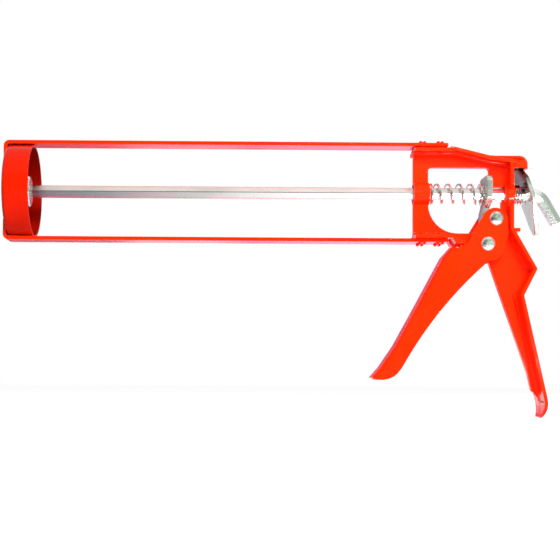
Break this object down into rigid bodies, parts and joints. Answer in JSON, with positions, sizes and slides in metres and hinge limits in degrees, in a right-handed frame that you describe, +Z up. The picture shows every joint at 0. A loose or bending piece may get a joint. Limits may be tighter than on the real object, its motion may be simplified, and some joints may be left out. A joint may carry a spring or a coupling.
{
  "type": "skeleton caulking gun",
  "caption": "Open-frame caulking gun: round front cap, straight rails, hexagonal push rod with piston, sprung drive dog, hand trigger and thumb release plate.",
  "frame": {"origin": "centre of the nozzle hole, on the front face of the cap", "axes": "+X from the nozzle end to the handle along the rod, +Z up away from the handle's grip, +Y across to the left-hand side"},
  "size_m": [0.3153, 0.052, 0.1559],
  "materials": {
    "red_paint": "glossy orange-red enamel",
    "bright_steel": "bright drawn steel",
    "zinc_plate": "bright zinc plating",
    "rivet_zinc": "zinc plated, slightly mottled",
    "spring_wire": "drawn spring wire"
  },
  "bodies": {
    "frame": {"front_cap": "red_paint", "top_rail": "red_paint", "bottom_rail": "red_paint", "body_shell_left": "red_paint", "body_shell_right": "red_paint", "top_rail_rivets": "red_paint", "bottom_rail_rivets": "red_paint", "drive_spring": "spring_wire", "release_spring": "spring_wire", "pivot_rivet": "rivet_zinc", "pivot_spacers": "bright_steel"},
    "plunger": {"plunger_rod": "bright_steel", "piston": "zinc_plate", "piston_washer": "zinc_plate", "piston_nut": "zinc_plate"},
    "trigger": {"trigger": "red_paint", "pusher_rivet": "rivet_zinc", "pusher_sleeve": "bright_steel"},
    "dog": {"drive_dog": "zinc_plate"},
    "release": {"release_plate": "zinc_plate"}
  },
  "joints": [
    {"name": "plunger_slide", "type": "slide", "parent": "frame", "child": "plunger", "axis": [1, 0, 0], "range_m": [0, 0.21]},
    {"name": "trigger_pivot", "type": "hinge", "parent": "frame", "child": "trigger", "pos_m": [0.2698, 0, -0.029], "axis": [0, -1, 0], "range_deg": [0, 35], "stiffness_Nm_per_rad": 0.5, "springref_deg": -17.19},
    {"name": "dog_slide", "type": "slide", "parent": "frame", "child": "dog", "axis": [-1, 0, 0], "range_m": [0, 0.0095], "deforming": ["drive_spring"]},
    {"name": "release_tilt", "type": "hinge", "parent": "frame", "child": "release", "pos_m": [0.28895, 0, 0.0138], "axis": [0, 1, 0], "range_deg": [0, 6], "stiffness_Nm_per_rad": 0.5, "springref_deg": -2.86, "deforming": ["release_spring"]}
  ],
  "couplings": [
    {"joint": "dog_slide", "follows": "trigger_pivot", "m_per_rad": 0.01485}
  ]
}
